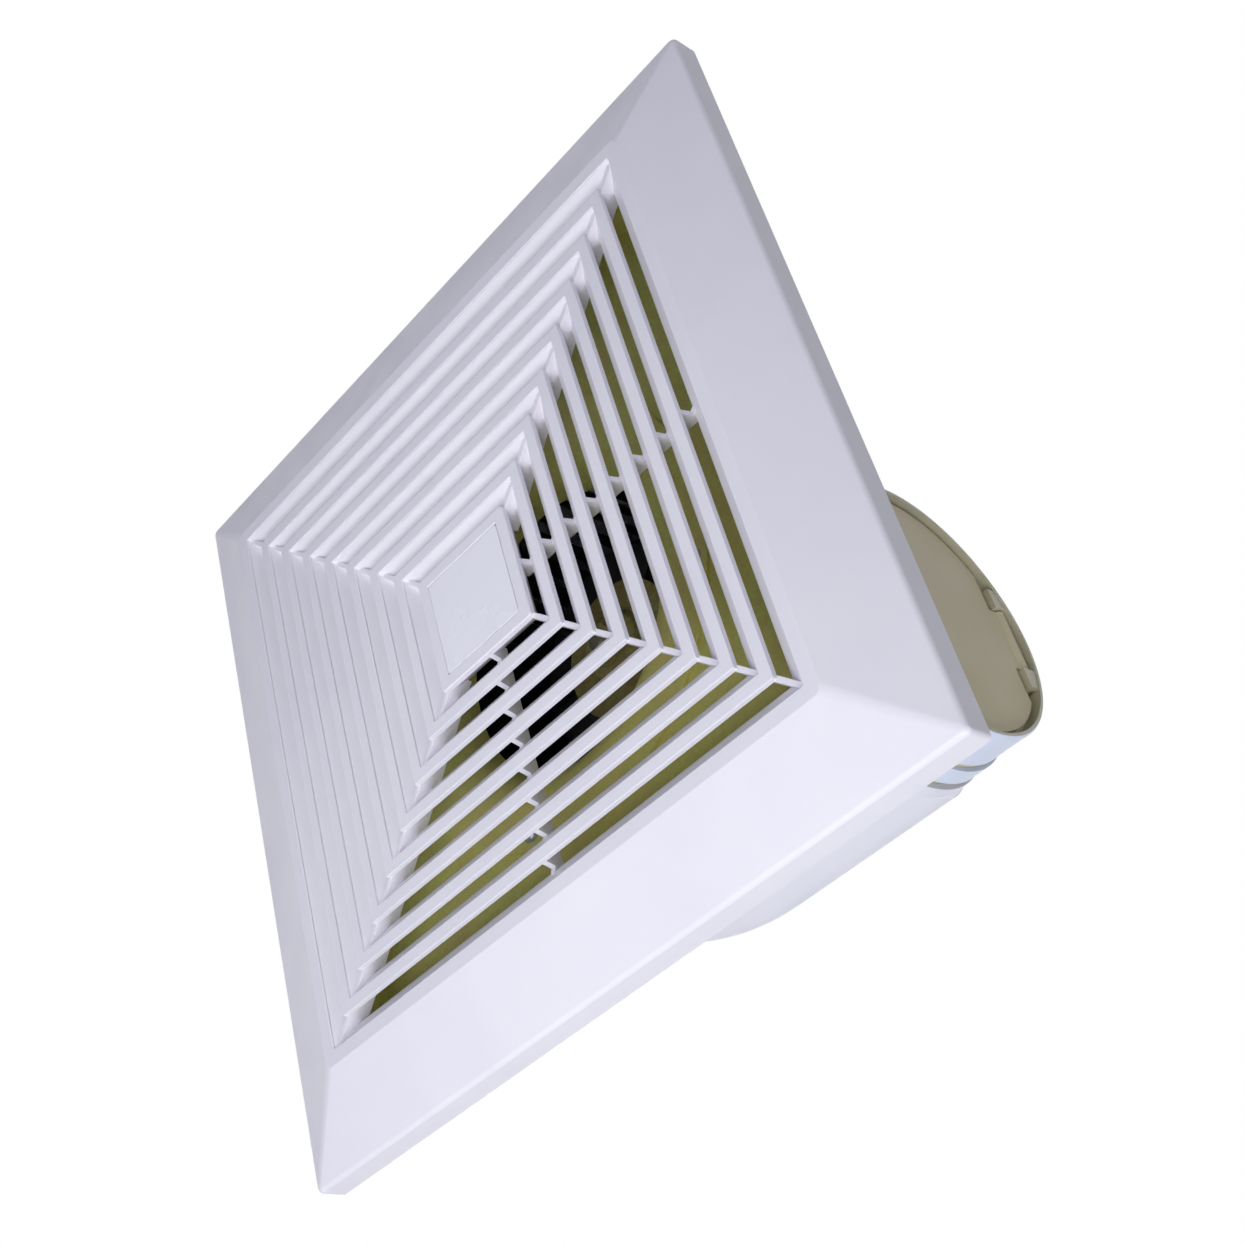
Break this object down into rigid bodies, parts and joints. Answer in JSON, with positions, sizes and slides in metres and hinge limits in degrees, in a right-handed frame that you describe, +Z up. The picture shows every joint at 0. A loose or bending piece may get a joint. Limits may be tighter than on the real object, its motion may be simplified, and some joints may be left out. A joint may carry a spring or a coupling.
{
  "type": "ceiling exhaust fan",
  "caption": "Square ceiling exhaust fan with a concentric louvre panel, a scroll blower and a round side duct outlet with a backdraft flap.",
  "frame": {"origin": "middle of the panel on the ceiling plane, on the impeller's axis", "axes": "+Z up into the ceiling along the impeller's axis, +X along the duct outlet, +Y to the side on which the outlet sits"},
  "size_m": [0.3, 0.3, 0.1472],
  "materials": {
    "panel_plastic": "satin",
    "plate_plastic": "satin",
    "housing_plastic": "satin",
    "duct_plastic": "satin",
    "flap_plastic": "matte",
    "wheel_plastic": "matte",
    "black_nylon": "matte",
    "seal_foam": "matte",
    "grommet_rubber": "matte",
    "zinc_steel": "satin",
    "passivated_steel": "satin",
    "spring_steel": "polished",
    "motor_steel": "satin",
    "lamination_steel": "matte",
    "copper_wire": "satin",
    "bearing_steel": "polished",
    "brass": "satin",
    "capacitor_plastic": "matte",
    "block_plastic": "matte"
  },
  "bodies": {
    "housing": {"mounting_frame": "passivated_steel", "inlet_ring": "passivated_steel", "inlet_ring_screws": "zinc_steel", "scroll_casing": "housing_plastic", "casing_screws": "zinc_steel", "outlet_adapter": "duct_plastic", "adapter_screws": "zinc_steel", "hinge_pin": "zinc_steel", "stator_core": "lamination_steel", "stator_coils": "copper_wire", "lower_bearing": "bearing_steel", "upper_bearing": "bearing_steel", "lower_bell": "motor_steel", "upper_bell": "motor_steel", "tie_bolts": "zinc_steel", "motor_plate": "motor_steel", "rubber_grommets": "grommet_rubber", "plate_screws": "zinc_steel", "terminal_box": "housing_plastic", "terminal_block": "block_plastic", "terminal_screws": "brass", "box_screw": "zinc_steel", "terminal_cover": "housing_plastic", "cover_screws": "zinc_steel", "cable_gland": "black_nylon", "gland_nut": "black_nylon", "capacitor": "capacitor_plastic", "capacitor_clip": "zinc_steel", "clip_screw": "zinc_steel", "earth_screw": "brass"},
    "panel": {"grille_panel": "panel_plastic", "centre_plate": "plate_plastic", "panel_spring_left": "spring_steel", "panel_spring_right": "spring_steel"},
    "rotor": {"impeller": "wheel_plastic", "hub_bush": "brass", "impeller_nut": "zinc_steel", "impeller_washer": "zinc_steel", "motor_shaft": "bearing_steel", "rotor_core": "lamination_steel"},
    "flap": {"backdraft_flap": "flap_plastic", "flap_seal": "seal_foam"}
  },
  "joints": [
    {"name": "panel_pull", "type": "slide", "parent": "housing", "child": "panel", "axis": [0, 0, -1], "range_m": [0, 0.045], "stiffness_N_per_m": 60, "springref_m": -0.12},
    {"name": "impeller_spin", "type": "hinge", "parent": "housing", "child": "rotor", "pos_m": [0, 0, 0.06], "axis": [0, 0, -1], "continuous": true},
    {"name": "flap_swing", "type": "hinge", "parent": "housing", "child": "flap", "pos_m": [0.1165, 0.063, 0.1055], "axis": [0, -1, 0], "range_deg": [0, 60]}
  ]
}
